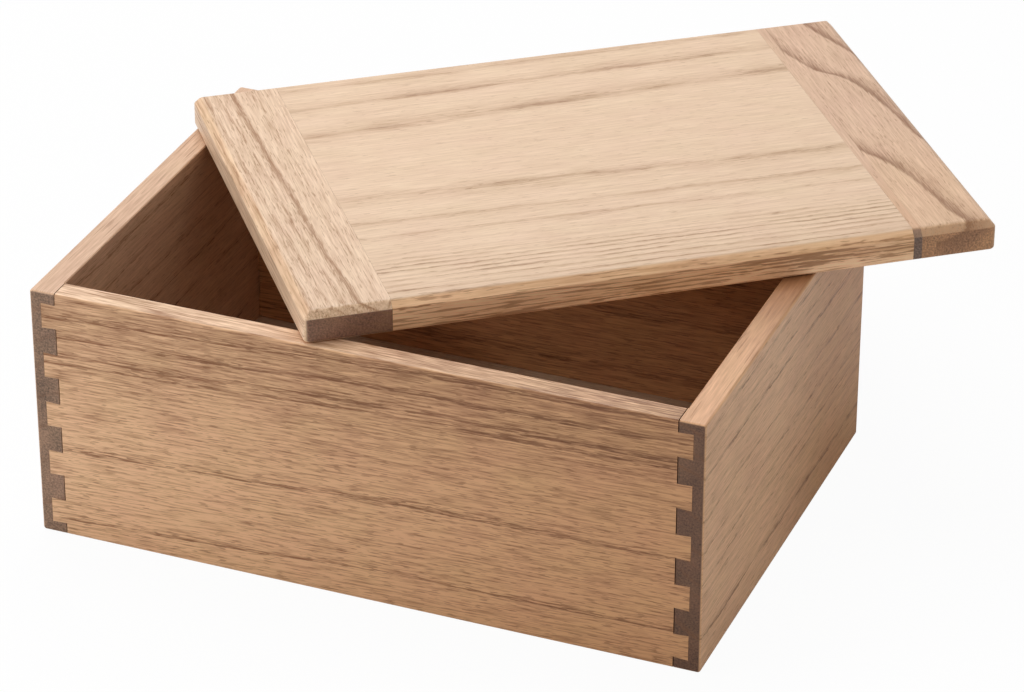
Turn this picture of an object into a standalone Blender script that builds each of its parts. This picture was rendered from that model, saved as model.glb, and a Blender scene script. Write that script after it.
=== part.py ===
"""Wooden keepsake box with a lift-off lid.

Four boards meet in half-blind dovetails: the front and back boards carry the tails, and the side
boards run the full depth and carry the pins, so that their end grain shows on the front and the back.
The bottom panel lies in a rebate, flush with the underside. The lid is a panel with a cross-grain
cleat at each end, held by a stopped tongue. It lies loose and askew on the rim.

Origin: centre of the underside. X runs along the front, Y to the back, Z up. Lengths in metres.
"""

import math

import bmesh
import bpy
from mathutils import Matrix, Vector

# Driving sizes of the box
BOX_LENGTH = 0.342
BOX_DEPTH = 0.238
BOX_HEIGHT = 0.134
LONG_BOARD_THICKNESS = 0.012
SIDE_BOARD_THICKNESS = 0.013
BOX_EDGE_ROUND = 0.0016
RIM_CHAMFER = 0.0005

# Dovetails: what is left in front of a tail's tip is the lap
TAIL_COUNT = 5
TAIL_TIP_HEIGHT = 0.0135
TAIL_ROOT_HEIGHT = 0.0128
END_PIN_HEIGHT = 0.006
LAP_THICKNESS = 0.0058

# Bottom panel, in a rebate round the inside of the four boards
BOTTOM_THICKNESS = 0.0055
REBATE_WIDTH = 0.006

# Lid
LID_OVERHANG = 0.001
LID_THICKNESS = 0.016
LID_CORNER_ROUND = 0.003
LID_TOP_ROUND = 0.005
LID_BOTTOM_ROUND = 0.0015
CLEAT_WIDTH = 0.0425
STRIP_WIDTH = 0.0042
TONGUE_LENGTH = 0.012
TONGUE_THICKNESS = 0.0055
TONGUE_STOP = 0.016

# Where the lid lies: its centre over the box, and how far it is turned on the rim
LID_PLACE_X = 0.035
LID_PLACE_Y = 0.0813
LID_TURN_DEGREES = 37.8

# Clearance between two pieces that touch, and how far a cutter stands past the face that it opens
JOINT_GAP = 0.0003
CUT_OVERRUN = 0.002

# Facets in a quarter round
ROUND_STEPS = 5

# Worked out from the sizes above
INSIDE_LENGTH = BOX_LENGTH - 2 * SIDE_BOARD_THICKNESS
INSIDE_DEPTH = BOX_DEPTH - 2 * LONG_BOARD_THICKNESS
TAIL_PITCH = (BOX_HEIGHT - 2 * END_PIN_HEIGHT - TAIL_TIP_HEIGHT) / (TAIL_COUNT - 1)
LID_LENGTH = BOX_LENGTH + 2 * LID_OVERHANG
LID_DEPTH = BOX_DEPTH + 2 * LID_OVERHANG
TONGUE_WIDTH = LID_DEPTH - 2 * TONGUE_STOP
LID_PANEL_LEFT = CLEAT_WIDTH - LID_LENGTH / 2
LID_PANEL_RIGHT = LID_LENGTH / 2 - CLEAT_WIDTH


def clear_scene():
    for obj in list(bpy.data.objects):
        bpy.data.objects.remove(obj, do_unlink=True)


def wood(name, colour, roughness):
    """A plain wood finish: linear colour, no metal."""
    material = bpy.data.materials.new(name)
    material.use_nodes = True
    shader = material.node_tree.nodes["Principled BSDF"]
    shader.inputs["Base Color"].default_value = (*colour, 1)
    shader.inputs["Roughness"].default_value = roughness
    shader.inputs["Metallic"].default_value = 0
    material.diffuse_color = (*colour, 1)
    return material


def object_from(name, shape, parent=None):
    """Turns a bmesh into an object in the scene, in its parent's frame."""
    bmesh.ops.recalc_face_normals(shape, faces=shape.faces)
    mesh = bpy.data.meshes.new(name)
    shape.to_mesh(mesh)
    shape.free()
    obj = bpy.data.objects.new(name, mesh)
    obj.parent = parent
    bpy.context.scene.collection.objects.link(obj)
    return obj


def helper(name, shape, parent=None):
    """A cutter or a guide, which is no part of the box."""
    obj = object_from(name, shape, parent)
    obj.hide_render = True
    obj.display_type = "WIRE"
    return obj


def apply_boolean(obj, other, operation):
    modifier = obj.modifiers.new(f"{operation.lower()} {other.name}", "BOOLEAN")
    modifier.operation = operation
    modifier.solver = "EXACT"
    modifier.object = other


def block(low, high):
    """A square-edged block between two opposite corners."""
    low = Vector(low)
    high = Vector(high)
    shape = bmesh.new()
    place = Matrix.Translation((low + high) / 2) @ Matrix.Diagonal((*(high - low), 1))
    bmesh.ops.create_cube(shape, size=1, matrix=place)
    return shape


def prism(outline, low_y, high_y):
    """An outline of (x, z) points, extruded along Y."""
    shape = bmesh.new()
    face = shape.faces.new([shape.verts.new((x, low_y, z)) for x, z in outline])
    swept = bmesh.ops.extrude_face_region(shape, geom=[face])
    moved = [part for part in swept["geom"] if isinstance(part, bmesh.types.BMVert)]
    bmesh.ops.translate(shape, verts=moved, vec=(0, high_y - low_y, 0))
    return shape


def rounded_rectangle(length, depth, corner):
    """Points of a rectangle about the origin, with a quarter circle at each corner."""
    points = []
    for quarter, (side_x, side_y) in enumerate(((1, 1), (-1, 1), (-1, -1), (1, -1))):
        centre_x = side_x * (length / 2 - corner)
        centre_y = side_y * (depth / 2 - corner)
        for step in range(ROUND_STEPS + 1):
            angle = math.pi / 2 * (quarter + step / ROUND_STEPS)
            points.append((centre_x + corner * math.cos(angle), centre_y + corner * math.sin(angle)))
    return points


def rounded_slab(length, depth, height, corner, bottom_round, top_round):
    """A slab on z = 0, lofted through outlines that draw in over the round of each edge."""
    levels = []
    for step in range(ROUND_STEPS + 1):
        angle = math.pi / 2 * step / ROUND_STEPS
        levels.append((bottom_round * (1 - math.sin(angle)), bottom_round * (1 - math.cos(angle))))
    for step in range(ROUND_STEPS + 1):
        angle = math.pi / 2 * step / ROUND_STEPS
        levels.append((top_round * (1 - math.cos(angle)), height - top_round * (1 - math.sin(angle))))
    sharpest = corner / ROUND_STEPS
    shape = bmesh.new()
    rings = []
    for inset, level in levels:
        arc = max(corner - inset, sharpest)
        outline = rounded_rectangle(length - 2 * inset, depth - 2 * inset, arc)
        rings.append([shape.verts.new((x, y, level)) for x, y in outline])
    shape.faces.new(rings[0])
    shape.faces.new(rings[-1])
    for lower, upper in zip(rings, rings[1:]):
        for here in range(len(lower)):
            after = (here + 1) % len(lower)
            shape.faces.new((lower[here], lower[after], upper[after], upper[here]))
    return shape


def shade_rounds(obj):
    obj.data.shade_smooth()
    obj.data.set_sharp_from_angle(angle=math.pi / 6)


def tail_levels():
    """Height of the middle of each tail, lowest first."""
    lowest = END_PIN_HEIGHT + TAIL_TIP_HEIGHT / 2
    return [lowest + number * TAIL_PITCH for number in range(TAIL_COUNT)]


def tailed_outline():
    """Front view of a long board: a rectangle between shoulders, with the tails on both ends."""
    shoulder = INSIDE_LENGTH / 2 - JOINT_GAP
    tip = BOX_LENGTH / 2 - LAP_THICKNESS - JOINT_GAP
    right_end = []
    for level in tail_levels():
        for half_height, reach in (
            (-TAIL_ROOT_HEIGHT / 2 + JOINT_GAP, shoulder),
            (-TAIL_TIP_HEIGHT / 2 + JOINT_GAP, tip),
            (TAIL_TIP_HEIGHT / 2 - JOINT_GAP, tip),
            (TAIL_ROOT_HEIGHT / 2 - JOINT_GAP, shoulder),
        ):
            right_end.append((reach, level + half_height))
    right_end = [(shoulder, 0), *right_end, (shoulder, BOX_HEIGHT)]
    left_end = [(-x, z) for x, z in reversed(right_end)]
    return right_end + left_end


def socket_outline(level, side):
    """Front view of the socket for one tail, open towards the inside of the box."""
    root = INSIDE_LENGTH / 2
    tip = BOX_LENGTH / 2 - LAP_THICKNESS
    slope = (TAIL_TIP_HEIGHT - TAIL_ROOT_HEIGHT) / (tip - root)
    mouth = root - CUT_OVERRUN
    mouth_height = TAIL_ROOT_HEIGHT - slope * CUT_OVERRUN
    corners = [
        (mouth, level - mouth_height / 2),
        (tip, level - TAIL_TIP_HEIGHT / 2),
        (tip, level + TAIL_TIP_HEIGHT / 2),
        (mouth, level + mouth_height / 2),
    ]
    return [(side * x, z) for x, z in corners]


def box_envelope():
    """The outer faces of the glued-up box, with the edges that are eased after gluing."""
    shape = rounded_slab(
        BOX_LENGTH, BOX_DEPTH, BOX_HEIGHT, BOX_EDGE_ROUND, BOX_EDGE_ROUND, BOX_EDGE_ROUND
    )
    return helper("box_envelope", shape)


def rim_relief():
    """Chamfers the inner edge of the rim: a shallow pyramid that narrows to the inside of the box."""
    shape = block(
        (-INSIDE_LENGTH / 2, -INSIDE_DEPTH / 2, BOX_HEIGHT - RIM_CHAMFER),
        (INSIDE_LENGTH / 2, INSIDE_DEPTH / 2, BOX_HEIGHT + CUT_OVERRUN),
    )
    spread = RIM_CHAMFER + CUT_OVERRUN
    for vertex in shape.verts:
        if vertex.co.z > BOX_HEIGHT:
            vertex.co.x += math.copysign(spread, vertex.co.x)
            vertex.co.y += math.copysign(spread, vertex.co.y)
    return helper("rim_relief", shape)


def bottom_recess():
    """The room that the rebates of the four boards leave for the bottom panel."""
    reach_x = INSIDE_LENGTH / 2 + REBATE_WIDTH
    reach_y = INSIDE_DEPTH / 2 + REBATE_WIDTH
    shape = block(
        (-reach_x, -reach_y, -CUT_OVERRUN),
        (reach_x, reach_y, BOTTOM_THICKNESS + JOINT_GAP),
    )
    return helper("bottom_recess", shape)


def finish_board(board, material, envelope, relief, recess):
    """The cuts that every board gets once the box is glued up."""
    apply_boolean(board, envelope, "INTERSECT")
    apply_boolean(board, relief, "DIFFERENCE")
    apply_boolean(board, recess, "DIFFERENCE")
    board.data.materials.append(material)


def long_board(name, side):
    """Front board (side -1) or back board (side 1), with its tails."""
    outer = side * BOX_DEPTH / 2
    inner = side * INSIDE_DEPTH / 2
    return object_from(name, prism(tailed_outline(), min(outer, inner), max(outer, inner)))


def side_board(name, side):
    """Left board (side -1) or right board (side 1): its ends hold the sockets and the pins."""
    outer = side * BOX_LENGTH / 2
    inner = side * INSIDE_LENGTH / 2
    board = object_from(
        name,
        block((min(outer, inner), -BOX_DEPTH / 2, 0), (max(outer, inner), BOX_DEPTH / 2, BOX_HEIGHT)),
    )
    bottom_of_socket = INSIDE_DEPTH / 2 - JOINT_GAP
    past_the_end = BOX_DEPTH / 2 + CUT_OVERRUN
    for number, level in enumerate(tail_levels()):
        outline = socket_outline(level, side)
        for end, (low_y, high_y) in (
            ("front", (-past_the_end, -bottom_of_socket)),
            ("back", (bottom_of_socket, past_the_end)),
        ):
            cutter = helper(f"{name}_{end}_socket_{number}", prism(outline, low_y, high_y))
            apply_boolean(board, cutter, "DIFFERENCE")
    return board


def bottom_panel():
    """A thin panel that fills the rebates from below, flush with the underside."""
    reach_x = INSIDE_LENGTH / 2 + REBATE_WIDTH - JOINT_GAP
    reach_y = INSIDE_DEPTH / 2 + REBATE_WIDTH - JOINT_GAP
    return object_from(
        "bottom_panel", block((-reach_x, -reach_y, 0), (reach_x, reach_y, BOTTOM_THICKNESS))
    )


def lid_place():
    """The frame of the lid: middle of its underside, just clear of the rim."""
    place = bpy.data.objects.new("lid_place", None)
    place.location = (LID_PLACE_X, LID_PLACE_Y, BOX_HEIGHT + JOINT_GAP)
    place.rotation_euler = (0, 0, math.radians(LID_TURN_DEGREES))
    place.empty_display_size = CLEAT_WIDTH
    bpy.context.scene.collection.objects.link(place)
    return place


def lid_envelope(place):
    """The outer faces of the glued-up lid, with its rounded edges."""
    shape = rounded_slab(
        LID_LENGTH, LID_DEPTH, LID_THICKNESS, LID_CORNER_ROUND, LID_BOTTOM_ROUND, LID_TOP_ROUND
    )
    return helper("lid_envelope", shape, place)


def lid_block(low_x, high_x):
    """A full-depth block of the lid between two places along its length."""
    return block(
        (low_x, -LID_DEPTH / 2 - CUT_OVERRUN, -CUT_OVERRUN),
        (high_x, LID_DEPTH / 2 + CUT_OVERRUN, LID_THICKNESS + CUT_OVERRUN),
    )


def grow_tongue(shape, side, length):
    """Draws a tongue out of one end of the panel: the end face, shrunk to its size, then extruded."""
    end = max(shape.faces, key=lambda face: side * face.calc_center_median().x)
    shoulder = bmesh.ops.extrude_discrete_faces(shape, faces=[end])["faces"][0]
    middle = LID_THICKNESS / 2
    for vertex in shoulder.verts:
        vertex.co.y = math.copysign(TONGUE_WIDTH / 2, vertex.co.y)
        vertex.co.z = middle + math.copysign(TONGUE_THICKNESS / 2, vertex.co.z - middle)
    tip = bmesh.ops.extrude_discrete_faces(shape, faces=[shoulder])["faces"][0]
    bmesh.ops.translate(shape, verts=tip.verts, vec=(side * length, 0, 0))


def lid_panel(place):
    """The middle of the lid. Its right-hand tongue also passes through the strip."""
    shape = lid_block(LID_PANEL_LEFT + JOINT_GAP, LID_PANEL_RIGHT - JOINT_GAP)
    grow_tongue(shape, -1, TONGUE_LENGTH)
    grow_tongue(shape, 1, TONGUE_LENGTH + STRIP_WIDTH)
    return object_from("lid_panel", shape, place)


def groove(name, low_x, high_x, place):
    """A stopped groove for a tongue, with clearance all round."""
    half_width = TONGUE_WIDTH / 2 + JOINT_GAP
    half_height = TONGUE_THICKNESS / 2 + JOINT_GAP
    middle = LID_THICKNESS / 2
    shape = block((low_x, -half_width, middle - half_height), (high_x, half_width, middle + half_height))
    return helper(name, shape, place)


def lid_left_cleat(place):
    cleat = object_from("lid_left_cleat", lid_block(-LID_LENGTH / 2 - CUT_OVERRUN, LID_PANEL_LEFT), place)
    slot = groove(
        "left_groove", LID_PANEL_LEFT - TONGUE_LENGTH, LID_PANEL_LEFT + CUT_OVERRUN, place
    )
    apply_boolean(cleat, slot, "DIFFERENCE")
    return cleat


def lid_right_strip(place):
    """A narrow filler between the panel and the right-hand cleat, slotted for the tongue."""
    right = LID_PANEL_RIGHT + STRIP_WIDTH - JOINT_GAP
    strip = object_from("lid_right_strip", lid_block(LID_PANEL_RIGHT, right), place)
    slot = groove(
        "strip_slot", LID_PANEL_RIGHT - CUT_OVERRUN, LID_PANEL_RIGHT + STRIP_WIDTH + CUT_OVERRUN, place
    )
    apply_boolean(strip, slot, "DIFFERENCE")
    return strip


def lid_right_cleat(place):
    left = LID_PANEL_RIGHT + STRIP_WIDTH
    cleat = object_from("lid_right_cleat", lid_block(left, LID_LENGTH / 2 + CUT_OVERRUN), place)
    slot = groove("right_groove", left - CUT_OVERRUN, left + TONGUE_LENGTH, place)
    apply_boolean(cleat, slot, "DIFFERENCE")
    return cleat


def build_box():
    envelope = box_envelope()
    relief = rim_relief()
    recess = bottom_recess()
    front_wood = wood("front_wood", (0.40, 0.235, 0.13), 0.55)
    back_wood = wood("back_wood", (0.40, 0.24, 0.135), 0.55)
    left_wood = wood("left_wood", (0.38, 0.225, 0.13), 0.55)
    right_wood = wood("right_wood", (0.36, 0.215, 0.125), 0.55)
    bottom_wood = wood("bottom_wood", (0.42, 0.27, 0.16), 0.6)
    boards = (
        (long_board("front_board", -1), front_wood),
        (long_board("back_board", 1), back_wood),
        (side_board("left_board", -1), left_wood),
        (side_board("right_board", 1), right_wood),
    )
    for board, material in boards:
        finish_board(board, material, envelope, relief, recess)
        shade_rounds(board)
    panel = bottom_panel()
    panel.data.materials.append(bottom_wood)


def build_lid():
    place = lid_place()
    envelope = lid_envelope(place)
    pieces = (
        (lid_panel(place), wood("lid_panel_wood", (0.60, 0.41, 0.26), 0.55)),
        (lid_left_cleat(place), wood("lid_left_cleat_wood", (0.52, 0.34, 0.21), 0.55)),
        (lid_right_strip(place), wood("lid_strip_wood", (0.45, 0.29, 0.19), 0.55)),
        (lid_right_cleat(place), wood("lid_right_cleat_wood", (0.52, 0.34, 0.21), 0.55)),
    )
    for piece, material in pieces:
        apply_boolean(piece, envelope, "INTERSECT")
        piece.data.materials.append(material)
        shade_rounds(piece)


clear_scene()
build_box()
build_lid()
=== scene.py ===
"""Wooden keepsake box with a loose lid: the finish of every board.

Metres, +Z up, with the origin at the middle of the box's underside.
"""

import math

import bmesh
import bpy
import numpy as np
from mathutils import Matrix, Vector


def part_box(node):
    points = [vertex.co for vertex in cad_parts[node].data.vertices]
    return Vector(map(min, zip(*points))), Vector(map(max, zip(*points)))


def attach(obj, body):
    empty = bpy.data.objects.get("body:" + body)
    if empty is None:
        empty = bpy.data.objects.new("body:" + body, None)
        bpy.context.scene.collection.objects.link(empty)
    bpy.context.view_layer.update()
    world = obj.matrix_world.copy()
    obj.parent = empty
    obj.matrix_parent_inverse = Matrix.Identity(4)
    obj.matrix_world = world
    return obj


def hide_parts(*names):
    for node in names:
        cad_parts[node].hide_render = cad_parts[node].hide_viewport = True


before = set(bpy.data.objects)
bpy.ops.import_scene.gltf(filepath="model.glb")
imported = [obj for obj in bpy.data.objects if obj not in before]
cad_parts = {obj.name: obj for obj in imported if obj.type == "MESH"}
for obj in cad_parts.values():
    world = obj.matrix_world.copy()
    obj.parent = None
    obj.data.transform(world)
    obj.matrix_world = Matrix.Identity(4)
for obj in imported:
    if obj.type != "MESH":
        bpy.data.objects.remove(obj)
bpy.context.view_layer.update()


# Front and back boards: pale open-grained hardwood, sawn with upright growth rings, planed and oiled.
# Each end carries five dovetail tails, glued into the side boards. The outer edges were eased after
# gluing, and a rebate along the inner lower edge takes the bottom panel.

front_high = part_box("front_board")[1]
right_low, right_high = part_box("right_board")
BOX_HEIGHT = front_high.z
HALF_LENGTH = right_high.x
HALF_DEPTH = right_high.y
INSIDE_HALF_LENGTH = right_low.x
INSIDE_HALF_DEPTH = -front_high.y

TAIL_COUNT = 5
TAIL_TIP_HEIGHT = 0.0135
TAIL_ROOT_HEIGHT = 0.0128
END_PIN_HEIGHT = 0.006
LAP_THICKNESS = 0.0058
SHOULDER_GAP = 0.0005
TAIL_SIDE_GAP = 0.00006
TAIL_TIP_GAP = 0.00012

EDGE_ROUND = 0.0016
RIM_CHAMFER = 0.0005
REBATE_WIDTH = 0.006
REBATE_HEIGHT = 0.0058
ROUND_STEPS = 8
QUARTER = np.linspace(0, math.pi / 2, ROUND_STEPS + 1)

tail_levels = np.linspace(
    END_PIN_HEIGHT + TAIL_TIP_HEIGHT / 2, BOX_HEIGHT - END_PIN_HEIGHT - TAIL_TIP_HEIGHT / 2, TAIL_COUNT
)

# Points nearer than this, in metres, fall together. A bend over this many degrees stays an arris.
MERGE_DISTANCE = 1e-6
SHARP_BEND = 35


def lofted(name, rings):
    """A closed piece through equal rings, given as an array (ring, point, xyz).

    Every point joins the next point of its ring and the same point of the next ring, and a flat face
    closes the first and the last ring. Points that fall together are merged, so an outline may fold
    shut where a notch or a round ends.
    """
    ring_count, point_count = rings.shape[:2]
    index = np.arange(ring_count * point_count).reshape(ring_count, point_count)
    here = index[:-1]
    there = index[1:]
    walls = np.stack((here, np.roll(here, -1, axis=1), np.roll(there, -1, axis=1), there), axis=-1)
    faces = walls.reshape(-1, 4).tolist() + [index[0, ::-1].tolist(), index[-1].tolist()]
    mesh = bpy.data.meshes.new(name)
    mesh.from_pydata(rings.reshape(-1, 3), [], faces)
    shape = bmesh.new()
    shape.from_mesh(mesh)
    bmesh.ops.remove_doubles(shape, verts=shape.verts, dist=MERGE_DISTANCE)
    bmesh.ops.recalc_face_normals(shape, faces=shape.faces)
    shape.to_mesh(mesh)
    shape.free()
    mesh.shade_smooth()
    mesh.set_sharp_from_angle(angle=math.radians(SHARP_BEND))
    piece = bpy.data.objects.new(name, mesh)
    bpy.context.scene.collection.objects.link(piece)
    piece.modifiers.new("flat faces stay flat", "WEIGHTED_NORMAL").keep_sharp = True
    return piece


def tailed_board(name, side):
    """A long board: the outline of its face, carried through its thickness.

    The outline is a rectangle between the shoulders with the tails on both ends. At each depth below
    the outer face it is cut off at the board's lower and upper edge, which follow a quarter circle at
    the outer arris, a step at the rebate and a small quarter circle at the inner arris.
    """
    thickness = HALF_DEPTH - INSIDE_HALF_DEPTH
    outer_depth = EDGE_ROUND * (1 - np.cos(QUARTER))
    outer_cut = EDGE_ROUND * (1 - np.sin(QUARTER))
    rebate_depth = np.full(2, thickness - REBATE_WIDTH)
    inner_depth = thickness - RIM_CHAMFER * (1 - np.sin(QUARTER))
    inner_cut = RIM_CHAMFER * (1 - np.cos(QUARTER))
    depth = np.concatenate((outer_depth, rebate_depth, inner_depth))
    upper = BOX_HEIGHT - np.concatenate((outer_cut, (0, 0), inner_cut))
    lower = np.concatenate((outer_cut, (0, REBATE_HEIGHT), np.full(len(QUARTER), REBATE_HEIGHT)))

    shoulder = INSIDE_HALF_LENGTH - SHOULDER_GAP
    tip = HALF_LENGTH - LAP_THICKNESS - TAIL_TIP_GAP
    root_half = TAIL_ROOT_HEIGHT / 2 - TAIL_SIDE_GAP
    tip_half = TAIL_TIP_HEIGHT / 2 - TAIL_SIDE_GAP
    tail_x = np.tile((shoulder, tip, tip, shoulder), TAIL_COUNT)
    tail_z = np.add.outer(tail_levels, (-root_half, -tip_half, tip_half, root_half)).ravel()
    end_x = np.concatenate(((shoulder,), tail_x, (shoulder,)))
    end_z = np.concatenate(((0,), tail_z, (BOX_HEIGHT,)))
    outline_x = np.concatenate((end_x, -end_x[::-1]))
    outline_z = np.concatenate((end_z, end_z[::-1]))

    rings = np.empty((len(depth), len(outline_x), 3))
    rings[..., 0] = outline_x
    rings[..., 1] = side * (HALF_DEPTH - depth[:, None])
    rings[..., 2] = np.clip(outline_z, lower[:, None], upper[:, None])
    return lofted(name, rings)


def linear_colour(red, green, blue):
    """A colour as seen on a screen, 0 to 255, as linear light: the sRGB curve undone."""
    shares = np.array((red, green, blue)) / 255
    return (*np.where(shares > 0.04045, ((shares + 0.055) / 1.055) ** 2.4, shares / 12.92).tolist(), 1)


def connect(tree, node, inputs):
    """Gives each input of a node, by name or number, another node's output or a value."""
    for key, value in dict(inputs).items():
        if isinstance(value, bpy.types.NodeSocket):
            tree.links.new(value, node.inputs[key])
        else:
            node.inputs[key].default_value = value


def place_node(tree, kind, inputs=(), **settings):
    """Adds a node with its settings and its inputs."""
    node = tree.nodes.new(kind)
    for setting, value in settings.items():
        setattr(node, setting, value)
    connect(tree, node, inputs)
    return node


def calculate(tree, operation, *values, clamp=False):
    """The output of a Math node."""
    node = place_node(tree, "ShaderNodeMath", enumerate(values), operation=operation, use_clamp=clamp)
    return node.outputs[0]


def smooth_step(tree, value, low, high):
    """0 up to low and 1 from high on, with a soft start and end. low may be the larger."""
    inputs = {"Value": value, "From Min": low, "From Max": high}
    return place_node(tree, "ShaderNodeMapRange", inputs, interpolation_type="SMOOTHSTEP").outputs["Result"]


def stretched_noise(tree, place, lengths, detail, roughness=0.5):
    """Noise whose grains have these three lengths, in the units of place."""
    scaled = place_node(tree, "ShaderNodeVectorMath", {0: place, 1: lengths}, operation="DIVIDE").outputs[0]
    inputs = {"Vector": scaled, "Scale": 1, "Detail": detail, "Roughness": roughness}
    return place_node(tree, "ShaderNodeTexNoise", inputs).outputs["Fac"]


def mixed_colour(tree, share, first, second, blend="MIX"):
    """The colour output of a Mix node."""
    inputs = {0: share, 6: first, 7: second}
    return place_node(tree, "ShaderNodeMix", inputs, data_type="RGBA", blend_type=blend).outputs[2]


def effect_group(name, inputs, outputs):
    """An empty shader group, the sockets that it is given, and the node that takes its results."""
    group = bpy.data.node_groups.new(name, "ShaderNodeTree")
    for label, kind, value in inputs:
        socket = group.interface.new_socket(label, in_out="INPUT", socket_type=kind)
        if value is not None:
            socket.default_value = value
    for label, kind in outputs:
        group.interface.new_socket(label, in_out="OUTPUT", socket_type=kind)
    return group, group.nodes.new("NodeGroupInput").outputs, group.nodes.new("NodeGroupOutput")


# Marks on the growth rings, in millimetres along the grain, across the face and into the board, and
# how far each moves a ring, in millimetres.
RING_DRIFT = (55, 14, 14)
RING_DRIFT_GAIN = 4
RING_FRAY = (7, 1.6, 1.6)
RING_FRAY_GAIN = 3


def growth_ring_group():
    """Distance from the pith of the log, in millimetres: negative on the near side of the pith line.

    Place runs along the grain, across the face and into the board. The pith lies at a place across
    the face, at a depth that changes along the grain. The distance is the root of the two squares
    added, across and into the board. Noise makes the rings unround and ragged.
    """
    group, given, result = effect_group(
        "growth_rings",
        (
            ("Place", "NodeSocketVector", None),
            ("Pith Across", "NodeSocketFloat", 0),
            ("Pith Depth", "NodeSocketFloat", 100),
            ("Pith Dive", "NodeSocketFloat", 0),
            ("Wander", "NodeSocketFloat", 0),
            ("Wobble", "NodeSocketFloat", 1),
        ),
        (("Radius", "NodeSocketFloat"),),
    )
    along, across, depth = place_node(group, "ShaderNodeSeparateXYZ", {0: given["Place"]}).outputs
    across = calculate(group, "ADD", across, given["Wander"])
    across = calculate(group, "SUBTRACT", across, given["Pith Across"])
    depth = calculate(group, "SUBTRACT", depth, given["Pith Depth"])
    depth = calculate(group, "SUBTRACT", depth, calculate(group, "MULTIPLY", along, given["Pith Dive"]))
    across_squared = calculate(group, "POWER", across, 2)
    squares = calculate(group, "ADD", across_squared, calculate(group, "POWER", depth, 2))
    radius = calculate(group, "SQRT", squares)
    drift = stretched_noise(group, given["Place"], RING_DRIFT, 1)
    fray = stretched_noise(group, given["Place"], RING_FRAY, 2)
    drift = calculate(group, "MULTIPLY", calculate(group, "SUBTRACT", drift, 0.5), RING_DRIFT_GAIN)
    fray = calculate(group, "MULTIPLY", calculate(group, "SUBTRACT", fray, 0.5), RING_FRAY_GAIN)
    wobble = calculate(group, "MULTIPLY", calculate(group, "ADD", drift, fray), given["Wobble"])
    radius = calculate(group, "ADD", radius, wobble)
    signed = calculate(group, "MULTIPLY", radius, calculate(group, "SIGN", across))
    group.links.new(signed, result.inputs["Radius"])
    return group


# Marks in the wood, in millimetres along the grain, across the face and into the board.
BROAD_STREAK = (60, 3, 3)
FINE_STREAK = (20, 1, 1)
CLOUD = (45, 15, 15)
SHORT_PORE = (8, 0.72, 0.72)
LONG_PORE = (30, 1.1, 1.1)
END_SPECKLE = (12, 1, 1)
HUE_PATCH = (30, 18, 18)

# The usual place of the tone between light wood, 0, and dark wood, 1, the roughness under the oil, and
# the colours that multiply an edge, white where its board names none, and an arris.
USUAL_DEPTH = 0.27
OILED_ROUGHNESS = 0.46
WHITE = (1, 1, 1, 1)
ARRIS_TONE = (1, 0.95, 0.87, 1)


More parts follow.
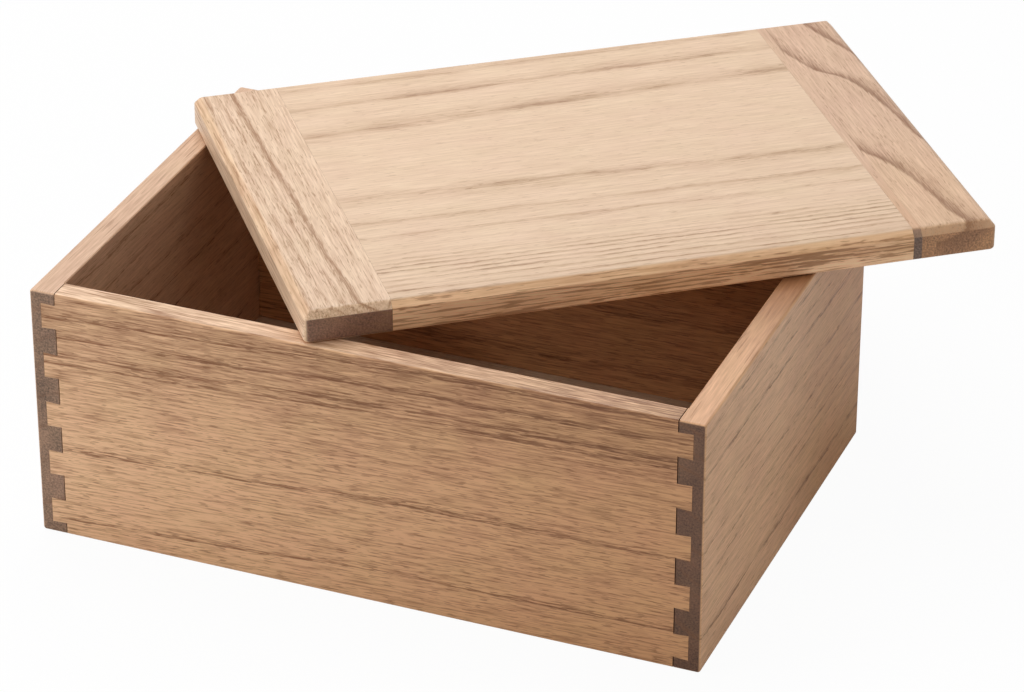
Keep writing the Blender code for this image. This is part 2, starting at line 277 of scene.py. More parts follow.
def wood_surface_group():
    """Colour, roughness and height of planed open-grained wood.

    Depth is how far the tone lies from light to dark wood, from 0 to 1, before streaks and clouds.
    Ring is 1 where a growth ring's open pores begin and 0 where there are none. Pores are short dark
    dashes along the grain, crowded there. On end grain the same wood shows as speckles, and it is
    darker, because it drinks more oil. A board's long edges have a tone of their own, which on some
    boards carries painted light and shade, and pores in long rows, and the eased arrises are warmer.
    """
    group, given, result = effect_group(
        "wood_surface",
        (
            ("Place", "NodeSocketVector", None),
            ("Ring", "NodeSocketFloat", 0),
            ("End Grain", "NodeSocketFloat", 0),
            ("Edge Grain", "NodeSocketFloat", 0),
            ("Arris", "NodeSocketFloat", 0),
            ("Light Wood", "NodeSocketColor", None),
            ("Dark Wood", "NodeSocketColor", None),
            ("Pore", "NodeSocketColor", None),
            ("End Wood", "NodeSocketColor", None),
            ("Edge Tone", "NodeSocketColor", WHITE),
            ("Edge Pores", "NodeSocketFloat", 0),
            ("Depth", "NodeSocketFloat", USUAL_DEPTH),
            ("Open Grain", "NodeSocketFloat", 0.3),
            ("Streaks", "NodeSocketFloat", 1),
            ("Ring Tone", "NodeSocketFloat", 1),
        ),
        (
            ("Color", "NodeSocketColor"),
            ("Roughness", "NodeSocketFloat"),
            ("Height", "NodeSocketFloat"),
        ),
    )
    place = given["Place"]
    ring = given["Ring"]

    def centred(lengths, detail, gain, roughness=0.5):
        """Noise that swings about nought, times a gain."""
        noise = stretched_noise(group, place, lengths, detail, roughness)
        return calculate(group, "MULTIPLY", calculate(group, "SUBTRACT", noise, 0.5), gain)

    # Tone, from light to dark wood: streaks, livelier near a ring, then the ring itself and clouds.
    broad = centred(BROAD_STREAK, 2, 0.55)
    streak = centred(FINE_STREAK, 2, 1.65, 0.6)
    cloud = centred(CLOUD, 2, 1)
    lively = calculate(group, "MULTIPLY_ADD", ring, 0.8, 1)
    streaked = calculate(group, "MULTIPLY_ADD", streak, lively, broad)
    tone = calculate(group, "MULTIPLY_ADD", streaked, given["Streaks"], given["Depth"])
    ring_tone = calculate(group, "MULTIPLY", ring, 0.5)
    tone = calculate(group, "MULTIPLY_ADD", ring_tone, given["Ring Tone"], tone)
    tone = calculate(group, "MULTIPLY_ADD", cloud, 0.25, tone, clamp=True)
    colour = mixed_colour(group, tone, given["Light Wood"], given["Dark Wood"])

    # Pores: noise above a limit that falls where they crowd, and a dark core in each ring.
    dash = stretched_noise(group, place, SHORT_PORE, 1)
    row = stretched_noise(group, place, LONG_PORE, 1)
    longer = calculate(group, "MULTIPLY", calculate(group, "SUBTRACT", row, dash), given["Edge Grain"])
    dash = calculate(group, "ADD", dash, longer)
    crowd = calculate(group, "MULTIPLY_ADD", ring, 0.75, given["Open Grain"])
    crowd = calculate(group, "MULTIPLY_ADD", given["Edge Grain"], given["Edge Pores"], crowd)
    crowd = calculate(group, "MULTIPLY_ADD", cloud, 0.6, crowd, clamp=True)
    limit = calculate(group, "SUBTRACT", 0.68, calculate(group, "MULTIPLY", crowd, 0.2))
    pores = smooth_step(group, calculate(group, "SUBTRACT", dash, limit), -0.02, 0.03)
    pore_depth = calculate(group, "MULTIPLY_ADD", crowd, 0.45, 0.3)
    core = calculate(group, "MULTIPLY", smooth_step(group, ring, 0.4, 1), 0.4)
    dark = calculate(group, "MAXIMUM", calculate(group, "MULTIPLY", pores, pore_depth), core)
    colour = mixed_colour(group, dark, colour, given["Pore"])

    # Long edges and arrises, which multiply the colour beneath. The edge tone carries painted light and
    # shade on some boards: a paler lit rim, a richer shaded edge, the lid's shadow on a rim.
    colour = mixed_colour(group, given["Edge Grain"], colour, given["Edge Tone"], "MULTIPLY")
    colour = mixed_colour(group, given["Arris"], colour, ARRIS_TONE, "MULTIPLY")

    # End grain: speckles, with the rings darker, and a hue that drifts over the whole board.
    speckle = calculate(group, "ADD", centred(END_SPECKLE, 2, 2.4, 0.7), 1)
    speckle = calculate(group, "ADD", speckle, cloud)
    end_colour = mixed_colour(group, 1, given["End Wood"], speckle, "MULTIPLY")
    end_colour = mixed_colour(group, calculate(group, "MULTIPLY", ring, 0.7), end_colour, given["Pore"])
    colour = mixed_colour(group, given["End Grain"], colour, end_colour)
    hue = calculate(group, "MULTIPLY_ADD", centred(HUE_PATCH, 1, 1), 0.012, 0.5)
    colour = place_node(group, "ShaderNodeHueSaturation", {"Hue": hue, "Color": colour}).outputs[0]

    # Sheen and relief: pores and end grain are duller, and the pores lie low.
    roughness = calculate(group, "MULTIPLY_ADD", pores, 0.15, OILED_ROUGHNESS)
    roughness = calculate(group, "MULTIPLY_ADD", given["End Grain"], 0.12, roughness)
    height = calculate(group, "MULTIPLY_ADD", streak, 0.2, calculate(group, "MULTIPLY", pores, -0.8))
    for label, value in (("Color", colour), ("Roughness", roughness), ("Height", height)):
        group.links.new(value, result.inputs[label])
    return group


growth_rings = growth_ring_group()
wood_surface = wood_surface_group()


def curve_through(tree, value, points, handles):
    """A Float Curve through (value, result) points in rising order, with results from 0 to 1."""
    low, high = points[0][0], points[-1][0]
    inputs = {"Value": value, "From Min": low, "From Max": high}
    share = place_node(tree, "ShaderNodeMapRange", inputs).outputs["Result"]
    node = place_node(tree, "ShaderNodeFloatCurve", {"Value": share})
    curve = node.mapping.curves[0]
    places = [((place - low) / (high - low), result) for place, result in points]
    curve.points[0].location = places[0]
    curve.points[-1].location = places[-1]
    for place in places[1:-1]:
        curve.points.new(*place)
    for point in curve.points:
        point.handle_type = handles
    node.mapping.update()
    return node.outputs["Value"]


# The knee in a ring's fade: this share of the way out, this share of its darkness is left.
KNEE_PLACE = 0.35
KNEE_DARKNESS = 0.45


def ring_profile(pith, rings, side):
    """(radius, darkness) points through the growth rings on one side of the pith line, -1 or 1.

    Darkness climbs to a ring's strength over its rise, away from the pith. It falls to the knee, and
    on to nothing at the end of the fade, or where the next ring begins to rise.
    """
    radii = [math.hypot(place - pith[0], pith[1]) for place, _, _, _ in rings]
    own = sorted(
        (radius, *ring[1:]) for radius, ring in zip(radii, rings) if (ring[0] - pith[0]) * side > 0
    )
    points = []
    for number, (radius, strength, rise, fade) in enumerate(own):
        if number + 1 < len(own):
            fade = min(fade, own[number + 1][0] - own[number + 1][2] - radius)
        for beyond, darkness in ((-rise, 0), (0, 1), (KNEE_PLACE * fade, KNEE_DARKNESS), (fade, 0)):
            points.append((side * (radius + beyond), strength * darkness))
    return sorted(points)


# Patches where the rings fade, in millimetres along the grain, across the face and into the board.
RING_PATCH = (50, 14, 14)


def ring_darkness(tree, place, along, pith, rings, wander, wobble, uneven):
    """How dark the growth rings are at each place, from 0 to 1.

    It is read off the ring profiles at the place's distance from the pith. Patches of noise take up
    to the share uneven away.
    """
    log = {"Place": place, "Pith Across": pith[0], "Pith Depth": pith[1], "Pith Dive": pith[2]}
    log["Wobble"] = wobble
    if wander:
        reach = max(abs(shift) for _, shift in wander)
        points = [(stop, 0.5 + shift / reach / 2) for stop, shift in wander]
        shifted = curve_through(tree, along, points, "AUTO_CLAMPED")
        log["Wander"] = calculate(tree, "MULTIPLY_ADD", shifted, 2 * reach, -reach)
    radius = place_node(tree, "ShaderNodeGroup", log, node_tree=growth_rings).outputs["Radius"]
    profiles = [ring_profile(pith, rings, side) for side in (-1, 1)]
    sides = [curve_through(tree, radius, points, "VECTOR") for points in profiles if points]
    ring = calculate(tree, "MAXIMUM", *sides) if len(sides) > 1 else sides[0]
    patches = stretched_noise(tree, place, RING_PATCH, 1)
    faint = calculate(tree, "MULTIPLY", smooth_step(tree, patches, 0.6, 0.36), uneven)
    return calculate(tree, "MULTIPLY", ring, calculate(tree, "SUBTRACT", 1, faint))


def facing(tree, normal, angles, direction):
    """How squarely a facet faces along a direction of the board, either way, from 0 to 1."""
    axis = place_node(tree, "ShaderNodeMapping", {"Vector": direction, "Rotation": angles}).outputs[0]
    product = place_node(tree, "ShaderNodeVectorMath", {0: normal, 1: axis}, operation="DOT_PRODUCT")
    return calculate(tree, "ABSOLUTE", product.outputs["Value"])


MILLIMETRES = (0.001, 0.001, 0.001)
TINT_NAMES = ("Light Wood", "Dark Wood", "Pore", "End Wood")
GRAIN_RELIEF = 0.00008
RELIEF_STRENGTH = 0.6

# How squarely a facet faces an axis of the board where it begins and ends to look like end grain, like
# a long edge, and like an arris.
END_SQUARENESS = (0.68, 0.96)
EDGE_SQUARENESS = (0.4, 1)
ARRIS_SQUARENESS = (0.98, 0.78)


def wood(
    name,
    corner,
    turn,
    pith,
    rings,
    tints,
    end_tints=None,
    span=(0, 100),
    wander=(),
    wobble=1,
    uneven=0.4,
    depth=USUAL_DEPTH,
    deeper=None,
    edge_tone=WHITE,
    edge_end_tone=None,
    edge_span=None,
    end_from=END_SQUARENESS[0],
    **surface,
):
    """A board's wood, on millimetres from a corner of the board: along the grain, across and inwards.

    turn is how those three directions are turned, in degrees. pith is its place across, its depth and
    how much deeper it lies for each unit along the grain. rings are (place across the face at the
    start of the board, strength, rise, fade). wander is how far they lie off a straight line, as
    (place along the grain, shift), and wobble and uneven are how much they waver and fade. tints are
    the colours of light wood, dark wood, pores and end grain, which may change to end_tints between
    the two places in span. depth is how deep the tone is, and deeper is two places across the face
    between which it grows deeper, and by how much. edge_tone may change to edge_end_tone over
    edge_span. end_from is how squarely a facet faces along the grain where it begins to look like end
    grain. The rest goes to the wood surface as it is.
    """
    material = bpy.data.materials.new(name)
    material.use_nodes = True
    tree = material.node_tree
    seat = place_node(tree, "ShaderNodeTexCoord").outputs
    angles = [math.radians(angle) for angle in turn]
    axes = {"Vector": seat["Object"], "Location": corner, "Rotation": angles, "Scale": MILLIMETRES}
    place = place_node(tree, "ShaderNodeMapping", axes, vector_type="TEXTURE").outputs[0]
    along, across, _ = place_node(tree, "ShaderNodeSeparateXYZ", {0: place}).outputs

    end_on, edge_on, face_on = (facing(tree, seat["Normal"], angles, axis) for axis in np.eye(3).tolist())
    squarest = calculate(tree, "MAXIMUM", calculate(tree, "MAXIMUM", end_on, edge_on), face_on)
    inputs = {
        "Place": place,
        "Ring": ring_darkness(tree, place, along, pith, rings, wander, wobble, uneven),
        "End Grain": smooth_step(tree, end_on, end_from, END_SQUARENESS[1]),
        "Edge Grain": smooth_step(tree, edge_on, *EDGE_SQUARENESS),
        "Arris": smooth_step(tree, squarest, *ARRIS_SQUARENESS),
        "Depth": depth,
        "Edge Tone": edge_tone,
    }
    if deeper:
        low, high, gain = deeper
        inputs["Depth"] = calculate(tree, "MULTIPLY_ADD", smooth_step(tree, across, low, high), gain, depth)
    if edge_end_tone:
        share = smooth_step(tree, along, *edge_span)
        inputs["Edge Tone"] = mixed_colour(tree, share, edge_tone, edge_end_tone)
    for label, tint in zip(TINT_NAMES, tints):
        inputs[label] = linear_colour(*tint)
    if end_tints:
        share = smooth_step(tree, along, *span)
        for label, tint in zip(TINT_NAMES, end_tints):
            inputs[label] = mixed_colour(tree, share, inputs[label], linear_colour(*tint))
    for label, value in surface.items():
        inputs[label.replace("_", " ").title()] = value

    finish = place_node(tree, "ShaderNodeGroup", inputs, node_tree=wood_surface).outputs
    relief = {"Height": finish["Height"], "Distance": GRAIN_RELIEF, "Strength": RELIEF_STRENGTH}
    bump = place_node(tree, "ShaderNodeBump", relief)
    shown = {
        "Base Color": finish["Color"],
        "Roughness": finish["Roughness"],
        "Normal": bump.outputs["Normal"],
    }
    connect(tree, tree.nodes["Principled BSDF"], shown)
    return material


# Front board tints: the first set is paler and greyer, painted sheen from the light on the left with a
# little of the wood's own drift; the second is the right end's colour.
FRONT_TINTS_WITH_LEFT_SHEEN = ((237, 191, 148), (146, 96, 57), (128, 82, 48), (146, 118, 96))
FRONT_END_TINTS = ((208, 154, 107), (122, 75, 41), (108, 66, 36), (106, 74, 54))
FRONT_RINGS = (
    (125.5, 0.8, 0.5, 3.5),
    (86.5, 0.8, 0.6, 5),
    (38.5, 0.8, 0.6, 3),
    (34.5, 0.9, 0.6, 4),
    (24.5, 1, 0.5, 3.5),
    (13.5, 0.7, 0.8, 6),
    (4, 0.4, 0.8, 5),
)

front_board = tailed_board("front_board_finished", side=-1)
front_board.data.materials.append(
    wood(
        "front_board_wood",
        corner=(-HALF_LENGTH, -HALF_DEPTH, BOX_HEIGHT),
        turn=(-90, -2.1, 0),
        pith=(700, 120, 0),
        rings=FRONT_RINGS,
        tints=FRONT_TINTS_WITH_LEFT_SHEEN,
        # The tints fade from the painted sheen at the left end to the wood's own colour at the right.
        span=(-60, 402),
        end_tints=FRONT_END_TINTS,
        wander=((0, 0), (100, 0.8), (180, 2.6), (250, 1), (342, 0)),
        # Deeper toward the top edge: painted shade under the overhanging lid.
        deeper=(80, 10, 0.3),
        depth=0.13,
        # A paler, greyer rim: painted light, the bleached look of the brightly lit top edge.
        edge_tone=(1.24, 1.43, 1.72, 1),
        edge_pores=-0.5,
        open_grain=0.35,
        streaks=1.3,
        wobble=0.6,
    )
)
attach(front_board, "box")
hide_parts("front_board")

back_board = tailed_board("back_board_finished", side=1)
back_board.data.materials.append(
    wood(
        "back_board_wood",
        corner=(HALF_LENGTH, HALF_DEPTH, BOX_HEIGHT),
        turn=(90, 178.6, 0),
        pith=(600, 140, 0),
        rings=(
            (118, 0.6, 0.6, 8),
            (84, 0.6, 0.6, 10),
            (55, 0.7, 0.6, 5),
            (31, 0.7, 0.6, 5),
            (22, 0.6, 0.6, 4),
            (8, 0.7, 0.6, 6),
        ),
        tints=FRONT_END_TINTS,
        wander=((0, 0), (90, -1.5), (210, 1.8), (342, 0)),
        open_grain=0.3,
    )
)
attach(back_board, "box")
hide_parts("back_board")


# Side boards: the same wood over the full depth of the box, so their end grain shows on the front and
# the back. Sockets for the tails are cut from the inside and stop short of the outer face, which
# leaves a dark lap past the tips of the tails and a dark pin between each two.


def pinned_board(name, side):
    """A side board: the outline of its side view, carried from the inner face to the outer one.

    The outline runs round the four corners, each a quarter circle, and dips into five sockets on
    either end, into a chamfer along the rim and into the bottom rebate. Each dip has its depth at
    each ring, and folds shut where it is zero. The sockets widen from the inner face to the lap. Over
    the outer arris the whole outline draws in along a quarter circle.
    """
    lap = HALF_LENGTH - LAP_THICKNESS
    rebate_x = INSIDE_HALF_LENGTH + REBATE_WIDTH
    rebate_y = INSIDE_HALF_DEPTH + REBATE_WIDTH
    rings = []

    def ring(x, socket, draw_in=0.0, chamfer=0.0, rebate=0.0):
        """Adds the outline at this distance from the middle of the box, with the depth of its dips."""
        share = np.clip((x - INSIDE_HALF_LENGTH) / (lap - INSIDE_HALF_LENGTH), 0, 1)
        half = (TAIL_ROOT_HEIGHT + share * (TAIL_TIP_HEIGHT - TAIL_ROOT_HEIGHT)) / 2
        end = HALF_DEPTH - draw_in
        arc = EDGE_ROUND - draw_in
        arc_y = HALF_DEPTH - EDGE_ROUND + arc * np.cos(QUARTER)
        arc_z = EDGE_ROUND - arc * np.sin(QUARTER)
        dip_y = np.tile((end, end - socket, end - socket, end), TAIL_COUNT)
        dip_z = np.add.outer(tail_levels, (-half, -half, half, half)).ravel()
        low, high = draw_in, BOX_HEIGHT - draw_in
        half_y = np.concatenate(
            (
                (rebate_y, rebate_y),
                arc_y[::-1],
                dip_y,
                arc_y,
                (INSIDE_HALF_DEPTH, INSIDE_HALF_DEPTH),
            )
        )
        half_z = np.concatenate(
            (
                (low + rebate, low),
                arc_z[::-1],
                dip_z,
                BOX_HEIGHT - arc_z,
                (high, high - chamfer),
            )
        )
        outline_y = np.concatenate((half_y, -half_y[::-1]))
        outline_z = np.concatenate((half_z, half_z[::-1]))
        rings.append(np.column_stack((np.full(len(outline_y), side * x), outline_y, outline_z)))

    socket = HALF_DEPTH - INSIDE_HALF_DEPTH
    ring(INSIDE_HALF_LENGTH, socket, chamfer=RIM_CHAMFER, rebate=REBATE_HEIGHT)
    ring(INSIDE_HALF_LENGTH + RIM_CHAMFER, socket, rebate=REBATE_HEIGHT)
    ring(rebate_x, socket, rebate=REBATE_HEIGHT)
    ring(rebate_x, socket)
    ring(lap, socket)
    ring(lap, 0)
    for angle in QUARTER:
        draw_in = EDGE_ROUND * (1 - math.cos(angle))
        ring(HALF_LENGTH - EDGE_ROUND * (1 - math.sin(angle)), 0, draw_in=draw_in)
    return lofted(name, np.array(rings))


SIDE_TINTS = ((243, 194, 150), (164, 117, 80), (122, 78, 48), (106, 74, 54))
# The second tints, toward the back, are darker: painted shade beneath the overhanging lid.
SHADED_SIDE_BACK_TINTS = ((214, 161, 113), (144, 96, 58), (104, 62, 34), (98, 66, 46))

right_board = pinned_board("right_board_finished", side=1)
right_board.data.materials.append(
    wood(
        "right_board_wood",
        corner=(HALF_LENGTH, -HALF_DEPTH, BOX_HEIGHT),
        turn=(-90, 0, 90),
        pith=(420, 200, 0),
        rings=(
            (116.5, 1, 0.6, 3),
            (93, 0.6, 0.4, 1.5),
            (86, 0.7, 0.4, 1.5),
            (78, 0.6, 0.4, 1.5),
            (69, 0.7, 0.4, 2),
            (52, 0.8, 0.4, 2),
            (29.5, 1, 0.4, 2),
            (18.5, 0.7, 0.4, 1.5),
            (7.5, 0.9, 0.4, 2),
        ),
        tints=SIDE_TINTS,
        # The tints darken toward the back: painted shade beneath the overhanging lid.
        span=(85, 200),
        end_tints=SHADED_SIDE_BACK_TINTS,
        # The rim darkens toward the back: painted shadow of the lid lying across it.
        edge_span=(45, 150),
        edge_tone=(0.92, 0.88, 0.88, 1),
        edge_end_tone=(0.46, 0.36, 0.27, 1),
        wander=((0, 0), (90, 0.8), (238, 0)),
        open_grain=0.05,
        streaks=0.75,
        ring_tone=1.2,
    )
)
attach(right_board, "box")
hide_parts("right_board")

left_board = pinned_board("left_board_finished", side=-1)
left_board.data.materials.append(
    wood(
        "left_board_wood",
        corner=(-HALF_LENGTH, HALF_DEPTH, BOX_HEIGHT),
        turn=(-90, 0, -90),
        pith=(460, 180, 0),
        rings=(
            (121, 0.8, 0.5, 4),
            (97, 0.6, 0.5, 4),
            (76, 0.6, 0.5, 3),
            (60, 0.7, 0.5, 3),
            (43, 0.6, 0.5, 3),
            (29, 0.6, 0.5, 3),
            (12, 0.7, 0.5, 3),
        ),
        # Paler and greyer than the right board: partly its own colour, partly painted sheen from the light
        # on the left.
        tints=((224, 186, 155), (154, 111, 78), (118, 78, 52), (138, 108, 86)),
        wander=((0, 0), (110, -1.2), (238, 0)),
        open_grain=0.15,
        streaks=0.8,
    )
)
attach(left_board, "box")
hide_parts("left_board")


# Bottom panel: a thin planed panel of the same wood, glued into the rebates from below and flush with
# the lower edges of the boards. Its arrises are only just broken.

panel_low, panel_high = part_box("bottom_panel")
PANEL_ARRIS = 0.0003

panel_inset = np.array((PANEL_ARRIS, 0, 0, PANEL_ARRIS))
panel_level = np.array((panel_low.z, panel_low.z + PANEL_ARRIS, panel_high.z - PANEL_ARRIS, panel_high.z))
panel_rings = np.empty((4, 4, 3))
panel_rings[..., 0] = np.outer(panel_high.x - panel_inset, (1, -1, -1, 1))
panel_rings[..., 1] = np.outer(panel_high.y - panel_inset, (1, 1, -1, -1))
panel_rings[..., 2] = panel_level[:, None]
bottom_panel = lofted("bottom_panel_finished", panel_rings)
bottom_panel.data.materials.append(
    wood(
        "bottom_panel_wood",
        corner=(panel_low.x, panel_low.y, panel_high.z),
        turn=(180, 0, 0),
        pith=(-100, 60, -0.04),
        rings=(
            (-50, 0.6, 0.8, 6),
            (-22, 0.6, 0.8, 6),
            (-6, 0.7, 0.8, 7),
            (16, 0.6, 0.8, 6),
            (40, 0.6, 0.8, 6),
            (66, 0.7, 0.8, 6),
            (95, 0.6, 0.8, 6),
        ),
        tints=((232, 212, 186), (186, 154, 124), (150, 116, 86), (148, 118, 94)),
        open_grain=0.25,
    )
)
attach(bottom_panel, "box")
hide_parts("bottom_panel")


# Lid: a wide flat-sawn panel with a cross-grain cleat glued on each end, and between the panel and the
# right-hand cleat a narrow strip, whose dark end grain shows on the long edges. The upper edges are
# planed to a wide bevel with eased arrises, and the lid lies loose on the rim, turned askew.

lid_low, lid_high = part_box("lid_panel")
LID_LENGTH = 0.344
LID_DEPTH = 0.24
LID_TURN = 37.8
LID_CORNER_ROUND = 0.003
LID_LEAST_CORNER_ROUND = LID_CORNER_ROUND / 5
LID_BEVEL_WIDTH = 0.005
LID_BEVEL_HEIGHT = 0.0043
LID_BEVEL_LOW_ROUND = 0.001
LID_BEVEL_HIGH_ROUND = 0.0035
LID_BOTTOM_ROUND = 0.0015
CLEAT_WIDTH = 0.0425
STRIP_WIDTH = 0.0042
TONGUE_LENGTH = 0.012
TONGUE_THICKNESS = 0.0055
TONGUE_HALF_WIDTH = 0.104
LID_JOINT_GAP = 0.00006
KEY_GAP = 0.0003
LID_PLACE_X = 0.035
LID_PLACE_Y = 0.0813

LID_THICKNESS = lid_high.z - lid_low.z
PANEL_END = LID_LENGTH / 2 - CLEAT_WIDTH
lid_cosine = math.cos(math.radians(LID_TURN))
lid_sine = math.sin(math.radians(LID_TURN))


def on_the_lid(x, y, z):
    """A place on the lid, from the middle of its underside, as a place in the room."""
    return (
        LID_PLACE_X + lid_cosine * x - lid_sine * y,
        LID_PLACE_Y + lid_sine * x + lid_cosine * y,
        lid_low.z + z,
    )


def eased_bevel(width, height, low_round, high_round):
    """Places (inset, rise) along a bevel whose lower and upper arris are rounded.

    The slope turns from upright to flat in two equal arcs of these radii, and the straight middle
    takes what they leave. Width and height are met by stretching the whole curve.
    """
    turn = np.linspace(0, math.pi / 4, ROUND_STEPS // 2 + 1)
    low_inset = low_round * (1 - np.cos(turn))
    low_rise = low_round * np.sin(turn)
    high_inset = high_round * (math.cos(math.pi / 4) - np.cos(turn + math.pi / 4))
    high_rise = high_round * (np.sin(turn + math.pi / 4) - math.sin(math.pi / 4))
    straight = max(height - low_rise[-1] - high_rise[-1], 0)
    inset = np.concatenate((low_inset, low_inset[-1] + straight + high_inset))
    rise = np.concatenate((low_rise, low_rise[-1] + straight + high_rise))
    return inset * width / inset[-1], rise * height / rise[-1]


bevel_inset, bevel_rise = eased_bevel(
    LID_BEVEL_WIDTH, LID_BEVEL_HEIGHT, LID_BEVEL_LOW_ROUND, LID_BEVEL_HIGH_ROUND
)


def lid_piece(name, left, right, left_key=0.0, right_key=0.0, key_gap=0.0):
    """A piece of the lid: the outline of its top view, carried upwards.

    left and right are the places of its two ends. An end at the lid's own end has rounded corners and
    draws in over the lower round and the bevel. Another end is a straight joint, and over the height
    of the tongue it has a key of that length: a tongue where it is positive, a groove where it is
    negative.
    """
    middle = LID_THICKNESS / 2
    half_key = TONGUE_THICKNESS / 2 + key_gap
    bottom = LID_BOTTOM_ROUND
    levels = np.concatenate(
        (
            bottom * (1 - np.cos(QUARTER)),
            np.array((-1, -1, 1, 1)) * half_key + middle,
            LID_THICKNESS - LID_BEVEL_HEIGHT + bevel_rise,
        )
    )
    insets = np.concatenate((bottom * (1 - np.sin(QUARTER)), np.zeros(4), bevel_inset))
    keyed = np.zeros(len(levels))
    keyed[len(QUARTER) + 1 : len(QUARTER) + 3] = 1

    half_width = LID_DEPTH / 2 - insets[:, None]
    arc = np.maximum(LID_CORNER_ROUND - insets, LID_LEAST_CORNER_ROUND)[:, None]
    key_y = np.array((1, 1, -1, -1)) * (TONGUE_HALF_WIDTH + key_gap) * np.ones((len(levels), 1))

    def end(place, key, side):
        """The outline at one end, from the back to the front: corner, key, corner."""
        is_outer = abs(place) > PANEL_END + STRIP_WIDTH + KEY_GAP
        corner = arc if is_outer else 0 * arc
        edge = np.abs(place) - insets[:, None] if is_outer else np.full_like(arc, side * place)
        corner_x = edge - corner * (1 - np.sin(QUARTER))
        corner_y = half_width - corner * (1 - np.cos(QUARTER))
        key_x = edge + np.outer(keyed, (0, key, key, 0))
        x = side * np.concatenate((corner_x, key_x, corner_x[:, ::-1]), axis=1)
        y = np.concatenate((corner_y, key_y, -corner_y[:, ::-1]), axis=1)
        return x, y

    right_x, right_y = end(right, right_key, 1)
    left_x, left_y = end(left, left_key, -1)
    x = np.concatenate((right_x, left_x[:, ::-1]), axis=1)
    y = np.concatenate((right_y, left_y[:, ::-1]), axis=1)
    z = levels[:, None] * np.ones_like(x)
    return lofted(name, np.stack(on_the_lid(x, y, z), axis=-1))


LID_TINTS = ((239, 209, 179), (180, 141, 105), (124, 84, 52), (138, 100, 78))
CLEAT_TINTS = ((238, 207, 177), (178, 137, 102), (150, 110, 77), (134, 96, 74))
RIGHT_CLEAT_TINTS = ((231, 193, 158), (160, 117, 82), (138, 98, 68), (182, 134, 96))
RIGHT_CLEAT_BACK_TINTS = ((228, 191, 161), (156, 114, 83), (138, 98, 71), (170, 126, 92))
STRIP_TINTS = ((222, 180, 144), (170, 124, 90), (132, 90, 62), (128, 104, 90))

lid_panel = lid_piece(
    "lid_panel_finished",
    left=-PANEL_END + LID_JOINT_GAP,
    right=PANEL_END - LID_JOINT_GAP,
    left_key=TONGUE_LENGTH,
    right_key=TONGUE_LENGTH + STRIP_WIDTH,
)
lid_panel.data.materials.append(
    wood(
        "lid_panel_wood",
        corner=on_the_lid(-LID_LENGTH / 2, -LID_DEPTH / 2, LID_THICKNESS),
        turn=(0, 0, LID_TURN),
        pith=(141, -45, 0.05),
        rings=(
            (110, 0.7, 4, 9),
            (81, 0.6, 2, 6),
            (65.5, 0.5, 1.5, 5),
            (54, 0.25, 0.9, 2.5),
            (46, 0.3, 0.9, 2.5),
            (41, 0.5, 0.9, 2),
            (37.5, 0.7, 0.9, 2),
            (33.5, 0.9, 0.9, 2),
            (29.5, 1, 0.9, 2),
            (25, 0.9, 0.9, 2),
            (21, 0.9, 0.9, 2.5),
            (16, 0.7, 0.9, 2.5),
            (10, 0.9, 0.9, 2),
            (5, 0.7, 0.9, 2.5),
            (1.5, 1, 0.7, 1),
            (172, 0.8, 4, 9),
            (205, 0.8, 3, 8),
            (227, 0.6, 3, 8),
        ),
        tints=LID_TINTS,
        deeper=(17, 9, 0.1),
        # Richer, warmer long edges: partly the edge grain, partly painted shade, the deeper colour of edges
        # that the light misses.
        edge_tone=(1.55, 1.39, 1.19, 1),
        edge_pores=0.6,
        open_grain=-0.1,
        streaks=0.5,
        ring_tone=1.2,
        wobble=0.7,
    )
)

lid_left_cleat = lid_piece(
    "lid_left_cleat_finished",
    left=-LID_LENGTH / 2,
    right=-PANEL_END,
    right_key=-TONGUE_LENGTH,
    key_gap=KEY_GAP,
)
lid_left_cleat.data.materials.append(
    wood(
        "lid_left_cleat_wood",
        corner=on_the_lid(-LID_LENGTH / 2 + CLEAT_WIDTH, -LID_DEPTH / 2, LID_THICKNESS),
        turn=(0, 0, LID_TURN + 90),
        pith=(-60, 160, 0),
        rings=((4, 0.3, 0.4, 2), (15, 1, 0.7, 4), (22, 0.45, 1, 6), (29, 0.5, 1, 6), (36, 0.45, 1, 6)),
        tints=CLEAT_TINTS,
        wander=((0, 0), (72, -3.5), (240, -8.5)),
        open_grain=0.25,
        ring_tone=1.3,
        uneven=0.1,
        wobble=0.25,
    )
)

lid_right_cleat = lid_piece(
    "lid_right_cleat_finished",
    left=PANEL_END + STRIP_WIDTH,
    right=LID_LENGTH / 2,
    left_key=-TONGUE_LENGTH,
    key_gap=KEY_GAP,
)
RIGHT_CLEAT_WANDER = (
    (0, 0),
    (12, -4.5),
    (30, -8),
    (60, -13.5),
    (75, -18),
    (85, -24),
    (98, -31),
    (115, -32.5),
    (135, -35),
    (158, -39.5),
    (170, -45),
    (180, -54),
    (195, -60),
    (215, -67),
    (240, -75),
)
lid_right_cleat.data.materials.append(
    wood(
        "lid_right_cleat_wood",
        corner=on_the_lid(LID_LENGTH / 2, -LID_DEPTH / 2, LID_THICKNESS),
        turn=(0, 0, LID_TURN + 90),
        pith=(31, 17.6, 0),
        rings=((12, 1, 1.4, 9), (-26, 1, 1.4, 9), (-57, 1, 1.4, 9)),
        tints=RIGHT_CLEAT_TINTS,
        span=(30, 130),
        end_tints=RIGHT_CLEAT_BACK_TINTS,
        wander=RIGHT_CLEAT_WANDER,
        open_grain=0.15,
        streaks=0.7,
        ring_tone=1.5,
        uneven=0.2,
        wobble=0.6,
        end_from=0.55,
    )
)

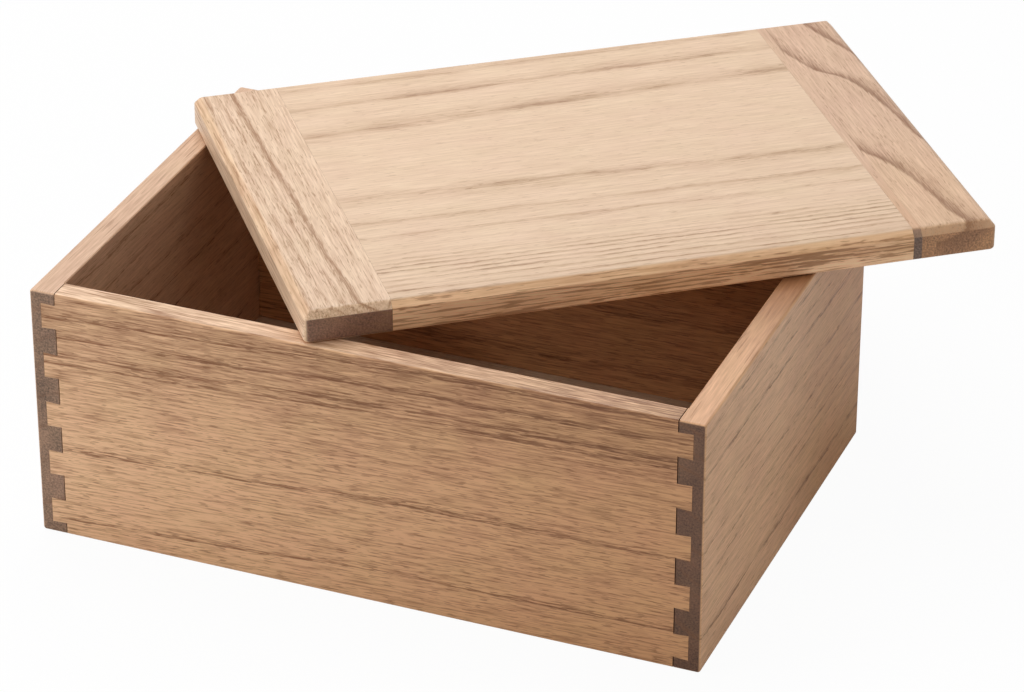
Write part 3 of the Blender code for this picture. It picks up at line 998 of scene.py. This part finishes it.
lid_right_strip = lid_piece(
    "lid_right_strip_finished", left=PANEL_END, right=PANEL_END + STRIP_WIDTH - LID_JOINT_GAP / 2
)
lid_right_strip.data.materials.append(
    wood(
        "lid_right_strip_wood",
        corner=on_the_lid(LID_LENGTH / 2, -LID_DEPTH / 2, LID_THICKNESS),
        turn=(0, 0, LID_TURN + 90),
        pith=(120, 150, 0),
        rings=((30, 0.4, 0.5, 4),),
        tints=STRIP_TINTS,
        end_tints=RIGHT_CLEAT_BACK_TINTS[:3] + STRIP_TINTS[3:],
        open_grain=0.1,
        streaks=0.5,
        end_from=0.3,
    )
)
for piece, node, slot in (
    (lid_panel, "lid_panel", "lid_panel_wood"),
    (lid_left_cleat, "lid_left_cleat", "lid_cleat_wood"),
    (lid_right_strip, "lid_right_strip", "lid_strip_wood"),
    (lid_right_cleat, "lid_right_cleat", "lid_cleat_wood"),
):
    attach(piece, "lid")
    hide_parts(node)


# Floor: a plain white surface that runs out of sight. It shows the camera mostly white, with the
# box's soft shadow on it.

FLOOR_HALF = 4.0
FLOOR_COLOUR = (0.86, 0.86, 0.86, 1)
FLOOR_ROUGHNESS = 0.9
FLOOR_WHITE_SHARE = 0.955

floor_mesh = bpy.data.meshes.new("floor")
floor_corners = np.array(((-1, -1, 0), (1, -1, 0), (1, 1, 0), (-1, 1, 0))) * FLOOR_HALF
floor_mesh.from_pydata(floor_corners, [], [(0, 1, 2, 3)])
floor = bpy.data.objects.new("floor", floor_mesh)
bpy.context.scene.collection.objects.link(floor)
floor_material = bpy.data.materials.new("white_floor")
floor_material.use_nodes = True
tree = floor_material.node_tree
floor_shader = tree.nodes["Principled BSDF"]
floor_shader.inputs["Base Color"].default_value = FLOOR_COLOUR
floor_shader.inputs["Roughness"].default_value = FLOOR_ROUGHNESS
white = place_node(tree, "ShaderNodeEmission", {"Color": WHITE, "Strength": 1})
seen = place_node(tree, "ShaderNodeLightPath").outputs["Is Camera Ray"]
share = calculate(tree, "MULTIPLY", seen, FLOOR_WHITE_SHARE)
blend = place_node(tree, "ShaderNodeMixShader", {0: share, 1: floor_shader.outputs[0], 2: white.outputs[0]})
tree.links.new(blend.outputs[0], tree.nodes["Material Output"].inputs["Surface"])
floor_mesh.materials.append(floor_material)


# Light: an even pale room, white where the camera or a reflection meets it, a wide soft lamp overhead,
# and a smaller one lower down on the left in front of the box.

ROOM_LIGHT = 0.38
LAMP_AIM = (0, 0, 0.1)

world = bpy.data.worlds.new("pale_room")
world.use_nodes = True
bpy.context.scene.world = world
tree = world.node_tree
path = place_node(tree, "ShaderNodeLightPath").outputs
direct = calculate(tree, "MAXIMUM", path["Is Camera Ray"], path["Is Glossy Ray"])
direct = calculate(tree, "MAXIMUM", direct, path["Is Transmission Ray"])
strength = calculate(tree, "MULTIPLY_ADD", direct, 1 - ROOM_LIGHT, ROOM_LIGHT)
background = tree.nodes["Background"]
background.inputs["Color"].default_value = WHITE
tree.links.new(strength, background.inputs["Strength"])


def soft_lamp(name, place, size, power):
    """A square lamp, its side in metres and its power in watts, that faces the box."""
    data = bpy.data.lights.new(name, "AREA")
    data.shape = "SQUARE"
    data.size = size
    data.energy = power
    lamp = bpy.data.objects.new(name, data)
    lamp.location = place
    x, y, z = np.subtract(LAMP_AIM, place)
    lamp.rotation_euler = (math.pi / 2 + math.atan2(z, math.hypot(x, y)), 0, math.atan2(-x, y))
    bpy.context.scene.collection.objects.link(lamp)


soft_lamp("overhead_lamp", place=(-0.45, 0.6, 1.8), size=1.3, power=21)
soft_lamp("left_lamp", place=(-1.1, -0.9, 0.8), size=0.6, power=8)

bpy.context.scene.view_settings.view_transform = "Standard"


# Camera: a long lens well back from the box, a little above and to its right. Metres, degrees, and
# millimetres for the lens and the film behind it.

CAMERA_PLACE = (0.7135, -1.7141, 1.1238)
CAMERA_TURN = (60.584, -0.104, 21.824)
CAMERA_LENS = 152.4
CAMERA_FILM_WIDTH = 36
CAMERA_REACH = 20

camera_data = bpy.data.cameras.new("camera")
camera_data.lens = CAMERA_LENS
camera_data.sensor_width = CAMERA_FILM_WIDTH
camera_data.clip_end = CAMERA_REACH
camera = bpy.data.objects.new("camera", camera_data)
camera.location = CAMERA_PLACE
camera.rotation_euler = [math.radians(angle) for angle in CAMERA_TURN]
bpy.context.scene.collection.objects.link(camera)
bpy.context.scene.camera = camera
